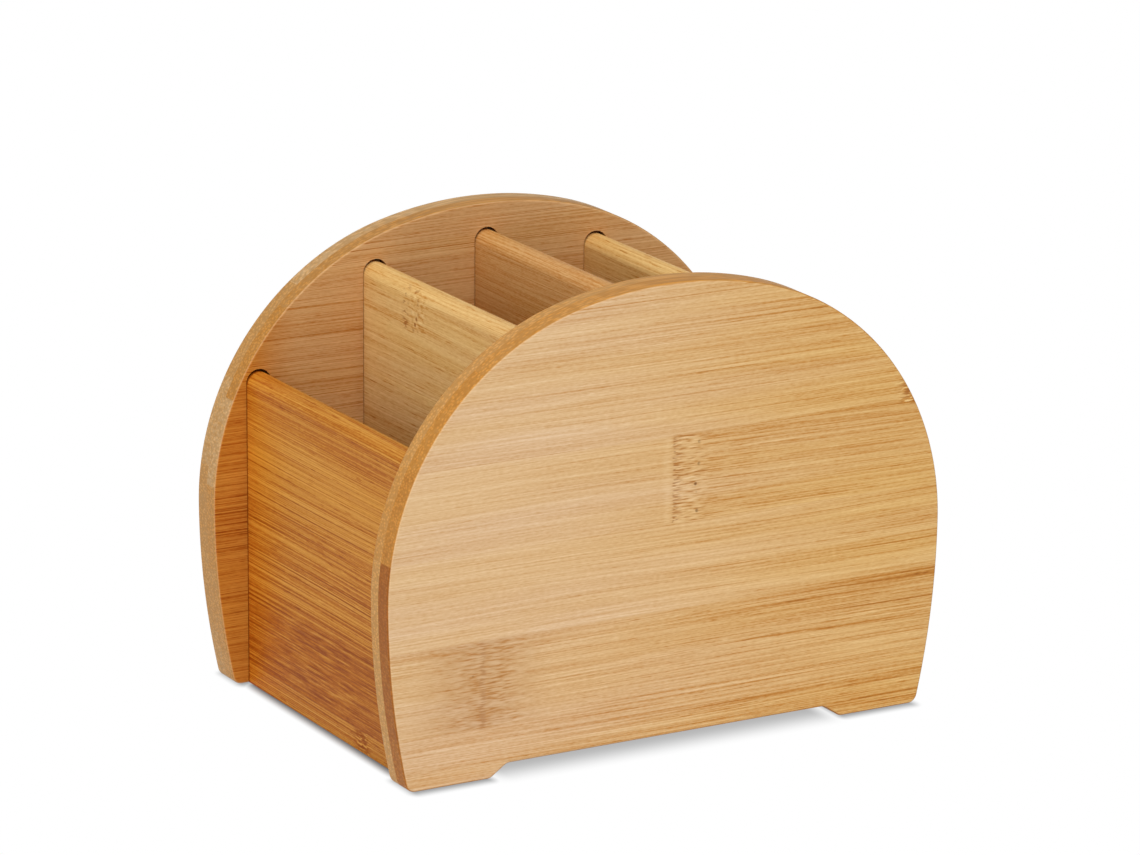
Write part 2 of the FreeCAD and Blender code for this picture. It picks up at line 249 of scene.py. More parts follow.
def round_headed_outline(node, clearance=0.0, head_gap=0.0, bottom=None):
    """An upright's section in X and Z with its half-round top, or that of the groove round it."""
    low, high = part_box(node)
    middle = (low.x + high.x) / 2
    half = (high.x - low.x) / 2 + clearance
    head = high.z + head_gap - half
    foot = low.z if bottom is None else bottom
    radius = sizes().upright_arris_radius
    down = -math.pi / 2
    left_corner = Vector((middle - half + radius, foot + radius))
    right_corner = Vector((middle + half - radius, foot + radius))
    outline = arc(left_corner, radius, -math.pi, down, CORNER_STEPS)
    outline += arc(right_corner, radius, down, 0.0, CORNER_STEPS)
    outline += arc(Vector((middle, head)), half, 0.0, math.pi, HEAD_STEPS)
    return outline


def rectangle_outline(low, high, radius):
    """A rectangle in X and Z with eased corners."""
    outline = []
    corners = [
        (low.x, low.z, 1, 1), (high.x, low.z, -1, 1),
        (high.x, high.z, -1, -1), (low.x, high.z, 1, -1),
    ]
    for quarter, (x, z, right, up) in enumerate(corners):
        centre = Vector((x + right * radius, z + up * radius))
        start = -math.pi + quarter * math.pi / 2
        outline += arc(centre, radius, start, start + math.pi / 2, CORNER_STEPS)
    return outline


def eased_rings(face, inward, radius, steps):
    """Rings of a quarter-round arris that starts on a face and turns inward along Y."""
    rings = []
    for step in range(steps + 1):
        turn = math.pi / 2 * step / steps
        rings.append((radius * (1 - math.sin(turn)), face + inward * radius * (1 - math.cos(turn))))
    return rings


def both_ends_eased(low, high):
    """Rings of a board that is eased at both of its ends along Y."""
    radius = sizes().upright_arris_radius
    rings = eased_rings(low.y, 1, radius, END_ARRIS_STEPS)
    rings += reversed(eased_rings(high.y, -1, radius, END_ARRIS_STEPS))
    return rings


def board(name, outline, rings):
    """A closed board: rings of one outline, each inset by its own amount at its own depth."""
    work = bmesh.new()
    loops = []
    for inset, depth in rings:
        loop = []
        for point, normal in outline:
            place = point - inset * normal
            loop.append(work.verts.new((place.x, depth, place.y)))
        loops.append(loop)
    for near, far in zip(loops, loops[1:]):
        for index in range(len(outline)):
            following = (index + 1) % len(outline)
            work.faces.new((near[index], near[following], far[following], far[index]))
    work.faces.new(loops[0])
    work.faces.new(loops[-1])
    bmesh.ops.remove_doubles(work, verts=work.verts, dist=SAME_PLACE)
    bmesh.ops.recalc_face_normals(work, faces=work.faces)
    mesh = bpy.data.meshes.new(name)
    work.to_mesh(mesh)
    work.free()
    piece = bpy.data.objects.new(name, mesh)
    bpy.context.scene.collection.objects.link(piece)
    return piece


def carve(piece, cutters):
    """Cuts each cutter out of a board for good, and removes the cutters."""
    for cutter in cutters:
        carving = piece.modifiers.new("groove", "BOOLEAN")
        carving.operation = "DIFFERENCE"
        carving.solver = "EXACT"
        carving.object = cutter
    view = bpy.context.evaluated_depsgraph_get()
    carved = bpy.data.meshes.new_from_object(piece.evaluated_get(view))
    piece.modifiers.clear()
    piece.data = carved
    for cutter in cutters:
        bpy.data.objects.remove(cutter)


def shade(piece):
    """Smooth shading that keeps the flat faces flat."""
    mesh = piece.data
    mesh.polygons.foreach_set("use_smooth", [True] * len(mesh.polygons))
    mesh.set_sharp_from_angle(angle=CREASE)
    weighting = piece.modifiers.new("flat_faces", "WEIGHTED_NORMAL")
    weighting.keep_sharp = True


def seat(piece, node, material):
    """Puts a finished board in its node's place."""
    shade(piece)
    piece.data.materials.clear()
    piece.data.materials.append(material)
    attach(piece, "root")
    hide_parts(node)


def groove_cutters(face, depth_end):
    """Solids of a cheek's stopped grooves: one for each upright, and one for the floor."""
    size = sizes()
    floor_low, floor_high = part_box("floor_panel")
    overrun = size.recess_height
    cutters = []
    for node in UPRIGHT_NODES:
        stands_on_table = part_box(node)[0].z < floor_low.z
        bottom = -overrun if stands_on_table else (floor_low.z + floor_high.z) / 2
        outline = round_headed_outline(node, size.groove_clearance, size.groove_head_gap, bottom)
        cutters.append(board("cutter_" + node, outline, [(0.0, face), (0.0, depth_end)]))
    floor_high.z += size.groove_clearance
    outline = rectangle_outline(floor_low, floor_high, size.upright_arris_radius)
    cutters.append(board("cutter_floor", outline, [(0.0, face), (0.0, depth_end)]))
    return cutters


def cheek_ply(node, name, end, layer, material):
    """One ply of a cheek, eased along the edge that shows and grooved if it is an inner one."""
    low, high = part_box(node)
    front = end == "front"
    eased_face, glued_face = (low.y, high.y) if front == (layer == "outer") else (high.y, low.y)
    inward = 1 if glued_face > eased_face else -1
    rings = eased_rings(eased_face, inward, sizes().arris_radius, ARRIS_STEPS)
    rings.append((0.0, glued_face))
    piece = board(name, cheek_outline(), rings)
    if layer == "inner":
        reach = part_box("middle_divider")[0 if front else 1].y
        overrun = sizes().recess_height
        carve(piece, groove_cutters(eased_face - inward * overrun, reach))
    seat(piece, node, material)


def upright(node, name, material):
    """An end wall or a divider, with its half-round top."""
    low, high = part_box(node)
    piece = board(name, round_headed_outline(node), both_ends_eased(low, high))
    seat(piece, node, material)


def floor_board(name, material):
    """The floor of the compartments."""
    low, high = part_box("floor_panel")
    outline = rectangle_outline(low, high, sizes().upright_arris_radius)
    piece = board(name, outline, both_ends_eased(low, high))
    seat(piece, "floor_panel", material)


# Bamboo finish


class NodeSheet:
    """Adds shader nodes to a material and joins them up."""

    def __init__(self, tree):
        self.tree = tree
        tree.nodes.clear()

    def add(self, kind, **settings):
        """A new node with some of its settings."""
        node = self.tree.nodes.new(kind)
        for name, setting in settings.items():
            setattr(node, name, setting)
        return node

    def feed(self, socket, source):
        """Joins a socket to another one, or sets it to a plain value."""
        if isinstance(source, bpy.types.NodeSocket):
            self.tree.links.new(source, socket)
        else:
            socket.default_value = source

    def math(self, operation, *sources):
        """The result of a Math node."""
        node = self.add("ShaderNodeMath", operation=operation)
        for socket, source in zip(node.inputs, sources):
            self.feed(socket, source)
        return node.outputs["Value"]

    def plus(self, *sources):
        """The sum of several values."""
        total = sources[0]
        for source in sources[1:]:
            total = self.math("ADD", total, source)
        return total

    def times(self, *sources):
        """The product of several values."""
        product = sources[0]
        for source in sources[1:]:
            product = self.math("MULTIPLY", product, source)
        return product

    def most(self, *sources):
        """The largest of several values."""
        largest = sources[0]
        for source in sources[1:]:
            largest = self.math("MAXIMUM", largest, source)
        return largest

    def rise(self, value, low, high):
        """A smooth step from 0 at low to 1 at high."""
        node = self.add("ShaderNodeMapRange", interpolation_type="SMOOTHSTEP")
        self.feed(node.inputs["Value"], value)
        self.feed(node.inputs["From Min"], low)
        self.feed(node.inputs["From Max"], high)
        return node.outputs["Result"]

    def hill(self, value, middle, spread):
        """A smooth hump of height 1 about a middle, down to 0 at the spread."""
        away = self.math("ABSOLUTE", self.math("SUBTRACT", value, middle))
        return self.rise(away, spread, 0.0)

    def between(self, value, low, high, blur):
        """1 between two values, with blurred ends."""
        rising = self.rise(value, low - blur, low + blur)
        falling = self.rise(value, high + blur, high - blur)
        return self.times(rising, falling)

    def point(self, x, y, z):
        """A vector of three values."""
        node = self.add("ShaderNodeCombineXYZ")
        for socket, source in zip(node.inputs, (x, y, z)):
            self.feed(socket, source)
        return node.outputs["Vector"]

    def noise(self, place, detail=2.0, roughness=0.5):
        """Soft noise about one half, at a scale of 1."""
        node = self.add("ShaderNodeTexNoise")
        self.feed(node.inputs["Vector"], place)
        node.inputs["Scale"].default_value = 1.0
        node.inputs["Detail"].default_value = detail
        node.inputs["Roughness"].default_value = roughness
        return node.outputs["Fac"]

    def cells(self, place, scatter=1.0):
        """Distance to the nearest of scattered points, about one apart."""
        node = self.add("ShaderNodeTexVoronoi")
        self.feed(node.inputs["Vector"], place)
        node.inputs["Scale"].default_value = 1.0
        node.inputs["Randomness"].default_value = scatter
        return node.outputs["Distance"]

    def ramp(self, value, stops, interpolation="LINEAR"):
        """A colour ramp through stops of a position and a colour."""
        node = self.add("ShaderNodeValToRGB")
        node.color_ramp.interpolation = interpolation
        elements = node.color_ramp.elements
        while len(elements) < len(stops):
            elements.new(1.0)
        for element, (position, tint) in zip(elements, stops):
            element.position = position
            element.color = (*tint, 1.0)
        self.feed(node.inputs["Fac"], value)
        return node.outputs["Color"]

    def mix(self, share, first, second, blend="MIX"):
        """Two colours mixed by a share."""
        node = self.add("ShaderNodeMix", data_type="RGBA", blend_type=blend)
        # The node has sockets for every kind of data; these are the ones for colours.
        sockets = (node.inputs[0], node.inputs[6], node.inputs[7])
        for socket, source in zip(sockets, (share, first, second)):
            self.feed(socket, (*source, 1.0) if isinstance(source, tuple) else source)
        return node.outputs[2]

    def emission(self, tint, strength=1.0):
        """Light of a tint and a strength."""
        node = self.add("ShaderNodeEmission")
        node.inputs["Color"].default_value = (*tint, 1.0)
        self.feed(node.inputs["Strength"], strength)
        return node.outputs["Emission"]

    def blend(self, share, first, second):
        """Two shaders mixed by a share."""
        node = self.add("ShaderNodeMixShader")
        for socket, source in zip(node.inputs, (share, first, second)):
            self.feed(socket, source)
        return node.outputs["Shader"]


PLAIN_STRIPS = (
    (-8.4, 0.0, 1.0, 0.26), (12.8, 0.02, 1.1, 0.32), (34.0, -0.02, 0.9, 0.24),
    (55.2, 0.01, 1.1, 0.36), (76.4, -0.01, 0.9, 0.30), (97.6, 0.0, 1.0, 0.34),
)
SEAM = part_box("rear_cheek_inner_ply")[0].y * MILLIMETRES
# How the fibres wander: waves per millimetre along and across them, and how far they go.
WAVES_ALONG = 0.01
WAVES_ACROSS = 0.03
WANDER = 2.0
# Fibres are a little thicker through the board than across it.
THROUGH_SHARE = 0.7
STRIP_JUMP = 300.0
STRIP_BLUR = 0.15
DOT_CORE = 0.4


@dataclass
class Look:
    """How one board is cut from bamboo. Places are in millimetres.

    A strip has a start, a tone and a contrast, and an edge tone if the board is no upright. A drift is a
    stretch along the fibres with a change of tone, of contrast and to the far tint. A band has a middle, a
    spread, the start and end of its rise along the fibres and a change of tone. A mark has a kind, a start
    and its strip's edges. Reach stretches the fibres, and dashes strengthens the short ones. An upright has
    long edges, which show the same grain as its faces, and a seam of some strength where it enters the
    cheeks' grooves.
    """

    axes: str = "XZY"
    seed: float = 0.0
    strips: tuple = PLAIN_STRIPS
    tone: float = 0.52
    contrast: float = 1.0
    reach: float = 1.0
    dashes: float = 1.0
    tint: tuple = WHITE
    far_tint: tuple = ()
    drift: tuple = (0.0, 1.0, 0.0, 0.0)
    edge_tint: tuple = WHITE
    # Share of the painted highlight along the eased arris.
    arris_highlight: float = 0.0
    upright: bool = False
    seam: float = 0.0
    bands: tuple = ()
    marks: tuple = ()


class Grain:
    """Places on one board in millimetres, and noise that is drawn out along its fibres."""

    def __init__(self, sheet, look):
        places = sheet.add("ShaderNodeTexCoord")
        scaled = sheet.add("ShaderNodeVectorMath", operation="SCALE")
        sheet.feed(scaled.inputs["Vector"], places.outputs["Object"])
        scaled.inputs["Scale"].default_value = MILLIMETRES
        split = sheet.add("ShaderNodeSeparateXYZ")
        sheet.feed(split.inputs["Vector"], scaled.outputs["Vector"])
        facing = sheet.add("ShaderNodeSeparateXYZ")
        sheet.feed(facing.inputs["Vector"], places.outputs["Normal"])
        self.sheet = sheet
        self.seed = look.seed
        self.along, self.across, self.through = (split.outputs[axis] for axis in look.axes)
        self.flatness = sheet.math("ABSOLUTE", facing.outputs[look.axes[2]])
        self.run = sheet.plus(self.along, self.strip_jump(look))
        wave_place = sheet.point(
            sheet.times(self.run, WAVES_ALONG), sheet.times(self.across, WAVES_ACROSS), self.seed
        )
        wander = sheet.times(sheet.plus(sheet.noise(wave_place, 0.0), -0.5), WANDER)
        self.strand = sheet.plus(self.across, wander)

    def strip_jump(self, look):
        """A far jump along the fibres from one strip to the next, so that no two are alike."""
        sheet = self.sheet
        start = look.strips[0][0]
        width = finish().strip_width * MILLIMETRES
        number = sheet.math("FLOOR", sheet.math("DIVIDE", sheet.plus(self.across, -start), width))
        shuffle = sheet.add("ShaderNodeTexWhiteNoise", noise_dimensions="1D")
        sheet.feed(shuffle.inputs["W"], sheet.plus(number, look.seed))
        return sheet.times(shuffle.outputs["Value"], STRIP_JUMP)

    def place(self, length, width):
        """A place measured in pieces of fibre of a length and a width."""
        sheet = self.sheet
        return sheet.point(
            sheet.times(self.run, 1 / length),
            sheet.times(self.strand, 1 / width),
            sheet.plus(sheet.times(self.through, THROUGH_SHARE / width), self.seed),
        )

    def noise(self, length, width, detail=1.0):
        """Soft noise about one half, with fibres of a length and a width."""
        return self.sheet.noise(self.place(length, width), detail)

    def dots(self, spacing, size):
        """Round dots about a spacing apart."""
        away = self.sheet.cells(self.place(spacing, spacing))
        return self.sheet.rise(away, size / spacing, DOT_CORE * size / spacing)

    def strip_values(self, strips, column):
        """One value of the strip table at each place: a step at the start of every strip."""
        sheet = self.sheet
        total = strips[0][column]
        for before, strip in zip(strips, strips[1:]):
            step = strip[column] - before[column]
            above = sheet.rise(self.across, strip[0] - STRIP_BLUR, strip[0] + STRIP_BLUR)
            total = sheet.plus(total, sheet.times(above, step))
        return total

    def past(self, start, ragged):
        """How far a place lies past a node's start, which is a ragged line."""
        sheet = self.sheet
        edge = sheet.noise(sheet.point(0.0, sheet.times(self.across, 0.6), start), 2.0)
        return sheet.plus(self.along, -start, sheet.times(sheet.plus(edge, -0.5), ragged))


@dataclass
class MarkShade:
    """What a node adds to a face: dark spots, pits, tone, haze, and calm for the long fibres."""

    dark: object = 0.0
    pits: object = 0.0
    tone: object = 0.0
    dusk: object = 0.0
    calm: object = 0.0


def crisp_mark(grain, start, low, high):
    """A node with a sharp start: a column of ticks, a quilted band, a few dots and streaks after it."""
    sheet = grain.sheet
    past = grain.past(start, 1.4)
    strip = sheet.between(grain.across, low, high, 0.3)
    quilt = grain.noise(3.6, 0.46)
    band = sheet.times(strip, sheet.rise(past, -0.4, 1.0), sheet.rise(past, 11.5, 6.0))
    column = sheet.times(strip, sheet.rise(past, 0.0, 0.6), sheet.rise(past, 3.6, 0.6))
    ticks = sheet.times(column, sheet.rise(grain.noise(2.4, 0.38), 0.49, 0.60), 0.66)
    dashes = sheet.times(band, sheet.rise(quilt, 0.56, 0.70), 0.40)
    quilting = sheet.times(band, sheet.plus(quilt, -0.5), -1.0)
    trail = sheet.times(strip, sheet.rise(past, 5.0, 12.0), sheet.rise(past, 46.0, 10.0))
    streaks = sheet.times(trail, sheet.rise(grain.noise(10.0, 0.45), 0.52, 0.66), -0.16)
    glow = sheet.times(strip, sheet.hill(past, -1.2, 1.6), 0.07)
    return MarkShade(
        dark=sheet.most(ticks, dashes),
        pits=sheet.times(strip, sheet.hill(past, 6.6, 1.6), grain.dots(2.4, 0.62), 0.75),
        tone=sheet.plus(quilting, streaks, glow),
        calm=sheet.times(band, 0.6),
    )


def soft_mark(grain, start, low, high):
    """A node sanded to a broad dusky haze about a soft crease, with a few dots before it."""
    sheet = grain.sheet
    past = grain.past(start, 1.6)
    strip = sheet.between(grain.across, low, high, 0.8)
    short = grain.noise(3.2, 0.42)
    crease = sheet.times(sheet.hill(past, 0.0, 2.2), sheet.rise(short, 0.30, 0.56), 0.85)
    haze = sheet.times(sheet.hill(past, -1.0, 22.0), 0.46)
    return MarkShade(
        pits=sheet.times(strip, sheet.hill(past, -4.0, 3.0), grain.dots(3.0, 0.55), 0.6),
        tone=sheet.times(strip, sheet.hill(past, 0.0, 18.0), sheet.plus(short, -0.5), -1.5),
        dusk=sheet.times(strip, sheet.most(crease, haze)),
        calm=sheet.times(strip, sheet.hill(past, 0.0, 16.0), 0.4),
    )


def dotted_mark(grain, start, low, high):
    """A node cut near its skin: pale flecks, a few dots and a column of short dashes."""
    sheet = grain.sheet
    past = grain.past(start, 1.2)
    strip = sheet.between(grain.across, low, high, 1.0)
    dashes = sheet.times(sheet.hill(past, 10.0, 2.4), sheet.rise(grain.noise(2.6, 0.75), 0.50, 0.60), 0.75)
    dots = sheet.times(sheet.hill(past, 5.0, 2.6), grain.dots(1.8, 0.75), 0.9)
    flecks = sheet.times(sheet.between(past, 0.0, 8.0, 1.5), sheet.plus(grain.noise(1.8, 0.8), -0.5), 0.8)
    return MarkShade(dark=sheet.times(strip, sheet.most(dots, dashes)), tone=sheet.times(strip, flecks))


def flecked_mark(grain, start, low, high):
    """A small node of pale and dark splinters."""
    sheet = grain.sheet
    past = grain.past(start, 1.5)
    patch = sheet.times(sheet.hill(past, 0.0, 6.0), sheet.between(grain.across, low, high, 0.8))
    splinters = grain.noise(2.6, 0.6)
    pale = sheet.times(sheet.rise(splinters, 0.43, 0.33), 0.85)
    return MarkShade(
        dark=sheet.times(patch, sheet.rise(splinters, 0.47, 0.58), 0.9),
        tone=sheet.times(patch, sheet.plus(pale, -0.16)),
        calm=sheet.times(patch, 0.5),
    )


def dashed_mark(grain, start, low, high):
    """A broad patch of short staggered dashes, as over a node that lies under the face."""
    sheet = grain.sheet
    past = grain.past(start, 6.0)
    patch = sheet.times(sheet.hill(past, 0.0, 48.0), sheet.between(grain.across, low, high, 3.0))
    dashes = sheet.times(sheet.plus(grain.noise(8.0, 0.62), -0.5), -1.1)
    return MarkShade(tone=sheet.times(patch, sheet.plus(dashes, -0.03)), calm=sheet.times(patch, 0.6))


MARK_KINDS = {
    "crisp": crisp_mark, "soft": soft_mark, "dotted": dotted_mark, "flecked": flecked_mark,
    "dashed": dashed_mark,
}


def face_tone(grain, look, drift, calm):
    """Tone of the long grain: strips, bands and fibres, from dark at 0 to pale at 1."""
    sheet = grain.sheet
    drift_tone, drift_contrast = look.drift[2:]
    contrast = sheet.times(
        grain.strip_values(look.strips, 2),
        sheet.plus(look.contrast, sheet.times(drift, drift_contrast)),
        sheet.math("SUBTRACT", 1.0, calm),
    )
    hairs = sheet.times(sheet.plus(grain.noise(40.0 * look.reach, 0.25), -0.5), 0.56)
    lines = sheet.times(sheet.plus(grain.noise(90.0 * look.reach, 0.65), -0.5), 0.32)
    streaks = sheet.times(sheet.rise(grain.noise(70.0 * look.reach, 0.45), 0.60, 0.72), -0.12)
    short = grain.noise(6.0, 0.4)
    dashes = sheet.plus(
        sheet.times(sheet.rise(short, 0.62, 0.74), -0.10 * look.dashes),
        sheet.times(sheet.rise(short, 0.38, 0.26), 0.10),
    )
    fibres = sheet.times(contrast, sheet.plus(hairs, lines, streaks, dashes))
    cloud = sheet.times(sheet.plus(grain.noise(130.0, 5.0), -0.5), 0.18)
    mottle = sheet.times(sheet.plus(grain.noise(1.4, 0.32), -0.5), 0.30)
    tone = sheet.plus(look.tone, grain.strip_values(look.strips, 1), fibres, cloud, mottle)
    for middle, spread, start, end, change in look.bands:
        reach = sheet.times(sheet.hill(grain.across, middle, spread), sheet.rise(grain.along, start, end))
        tone = sheet.plus(tone, sheet.times(reach, change))
    return sheet.plus(tone, sheet.times(drift, drift_tone))


def edge_colour(grain, look):
    """Colour of the boards' edges: pale ends of fibre bundles on a deeper ground, with a tone per strip."""
    sheet = grain.sheet
    wood = finish()
    bundles = sheet.rise(sheet.cells(grain.place(40.0, 0.6), 0.8), 0.65, 0.15)
    streaks = sheet.times(sheet.plus(grain.noise(45.0, 0.9), -0.5), 0.3)
    ground = sheet.ramp(sheet.plus(grain.strip_values(look.strips, 3), streaks), [
        (0.0, tuple(wood.end_cream)), (0.3, tuple(wood.end_pale)),
        (0.6, tuple(wood.end_gold)), (1.0, tuple(wood.end_red)),
    ])
    speckled = sheet.mix(1.0, ground, sheet.plus(sheet.times(bundles, 0.30), 0.90), "MULTIPLY")
    return sheet.mix(1.0, speckled, look.edge_tint, "MULTIPLY")


def seam_shade(grain, strength):
    """Dark ragged line where an upright enters the grooves of the cheeks."""
    sheet = grain.sheet
    ragged = sheet.times(sheet.plus(grain.noise(2.0, 0.6), -0.5), 0.8)
    reach = sheet.plus(sheet.math("ABSOLUTE", grain.along), ragged)
    return sheet.times(sheet.rise(reach, SEAM - 0.5, SEAM - 0.1), strength)


def face_colour(grain, look, marks, dark):
    """Colour of the long grain and its nodes, tinted along the board."""
    sheet = grain.sheet
    wood = finish()
    drift = sheet.rise(grain.along, look.drift[0], look.drift[1])
    calm = sheet.most(0.0, *(mark.calm for mark in marks))
    tone = sheet.plus(face_tone(grain, look, drift, calm), *(mark.tone for mark in marks))
    dusk = sheet.most(0.0, *(mark.dusk for mark in marks))
    pits = sheet.most(0.0, *(mark.pits for mark in marks))
    face = sheet.ramp(tone, [
        (0.08, tuple(wood.rust)), (0.34, tuple(wood.amber)),
        (0.56, tuple(wood.honey)), (0.86, tuple(wood.cream)),
    ])
    face = sheet.mix(dusk, face, tuple(wood.dusk))
    face = sheet.mix(dark, face, tuple(wood.umber))
    face = sheet.mix(pits, face, tuple(wood.bark))
    warmth = sheet.times(sheet.rise(grain.noise(90.0, 8.0), 0.36, 0.66), 0.45)
    face = sheet.mix(1.0, face, sheet.mix(warmth, tuple(wood.rose), tuple(wood.gold)), "MULTIPLY")
    return sheet.mix(1.0, face, sheet.mix(drift, look.tint, look.far_tint or look.tint), "MULTIPLY")


def surface_colour(grain, look, face):
    """Colour of the whole board: its faces, its edges and the painted highlight on the arris between them.
    """
    sheet = grain.sheet
    surface = face
    if not look.upright:
        edge = sheet.rise(grain.flatness, 0.95, 0.6)
        surface = sheet.mix(edge, surface, edge_colour(grain, look))
    # Painted highlight: the arris is mixed towards cream where it turns between face and edge.
    arris_highlight = sheet.times(sheet.hill(grain.flatness, 0.75, 0.28), look.arris_highlight)
    return sheet.mix(arris_highlight, surface, tuple(finish().cream))


def bamboo(name, look):
    """Lacquered bamboo whose grain, strips and nodes run through the solid board."""
    wood = finish()
    material = bpy.data.materials.new(name)
    material.use_nodes = True
    sheet = NodeSheet(material.node_tree)
    grain = Grain(sheet, look)
    marks = [MARK_KINDS[kind](grain, *place) for kind, *place in look.marks]
    dark = sheet.most(seam_shade(grain, look.seam), *(mark.dark for mark in marks))
    surface = surface_colour(grain, look, face_colour(grain, look, marks, dark))
    relief = grain.noise(40.0, 0.5)
    shader = sheet.add("ShaderNodeBsdfPrincipled")
    shader.inputs["Specular IOR Level"].default_value = wood.shine
    sheet.feed(shader.inputs["Base Color"], surface)
    gloss = sheet.plus(wood.roughness, sheet.times(sheet.plus(relief, -0.5), 0.25), sheet.times(dark, 0.1))
    sheet.feed(shader.inputs["Roughness"], gloss)
    bump = sheet.add("ShaderNodeBump")
    bump.inputs["Strength"].default_value = 0.5
    bump.inputs["Distance"].default_value = wood.relief
    sheet.feed(bump.inputs["Height"], sheet.plus(relief, sheet.times(dark, -0.25)))
    sheet.feed(shader.inputs["Normal"], bump.outputs["Normal"])
    output = sheet.add("ShaderNodeOutputMaterial")
    sheet.feed(output.inputs["Surface"], shader.outputs["BSDF"])
    return material


GOLD_TINT = (1.0, 0.935, 0.655)
WALL_TINT = (0.765, 0.50, 0.135)
# Painted bounce light: the left end wall turns a redder, deeper orange towards its corner with the rear
# cheek.
WALL_CORNER_BOUNCE_TINT = (0.81, 0.44, 0.07)
DIVIDER_TINT = (1.0, 0.96, 0.68)
INNER_TINT = (0.88, 0.74, 0.54)
# Painted shade: the middle divider is darker than the other dividers, standing in for the shade of pens
# that are not built.
MIDDLE_SHADED_TINT = (0.89, 0.765, 0.53)
# Painted shade and bounce light: the rear cheek's inner ply turns a darker, deeper orange at its left end,
# about the corner with the left end wall.
REAR_CORNER_BOUNCE_TINT = (0.73, 0.42, 0.10)
REAR_EDGE_TINT = (0.90, 0.90, 0.92)
CHEEK_STRIPS = (
    (-8.4, -0.045, 1.3, 0.88), (12.8, -0.025, 1.2, 0.95), (34.0, 0.01, 1.0, 1.0),
    (55.2, 0.0, 0.95, 0.67), (76.4, 0.0, 1.0, 0.61), (97.6, 0.0, 1.1, 0.54),
)
FRONT_INNER_STRIPS = (
    (-8.4, 0.0, 1.0, 0.30), (12.8, 0.02, 1.1, 0.34), (34.0, -0.02, 0.9, 0.38),
    (55.2, 0.01, 1.1, 0.48), (76.4, -0.01, 0.9, 0.42), (97.6, 0.0, 1.0, 0.42),
)
REAR_INNER_STRIPS = (
    (-12.8, 0.0, 1.0, 0.34), (8.4, 0.02, 1.1, 0.38), (29.6, -0.03, 1.2, 0.44),
    (50.8, 0.01, 1.0, 0.24), (72.0, -0.01, 0.9, 0.58), (93.2, 0.02, 1.0, 0.50),
)
REAR_OUTER_STRIPS = (
    (-8.4, 0.0, 1.0, 0.28), (12.8, 0.02, 1.1, 0.37), (34.0, -0.02, 0.9, 0.38),
    (55.2, 0.01, 1.1, 0.26), (76.4, -0.01, 0.9, 0.38), (97.6, 0.0, 1.0, 0.22),
)
WALL_STRIPS = (
    (-16.2, -0.07, 1.0), (5.0, -0.18, 1.0), (26.2, -0.08, 1.1), (47.4, -0.005, 1.0), (68.6, -0.08, 0.9),
)
WALL_BANDS = (
    (60.0, 9.0, -90.0, -80.0, 0.11), (78.0, 3.5, -90.0, -80.0, 0.12), (54.0, 13.0, 20.0, 44.0, 0.07),
    (71.5, 2.2, -90.0, 10.0, -0.07), (64.0, 2.0, -90.0, -80.0, 0.05), (44.0, 2.6, -90.0, -80.0, 0.06),
    (36.5, 2.2, -90.0, 20.0, -0.06), (31.0, 1.8, -90.0, -80.0, 0.05),
)
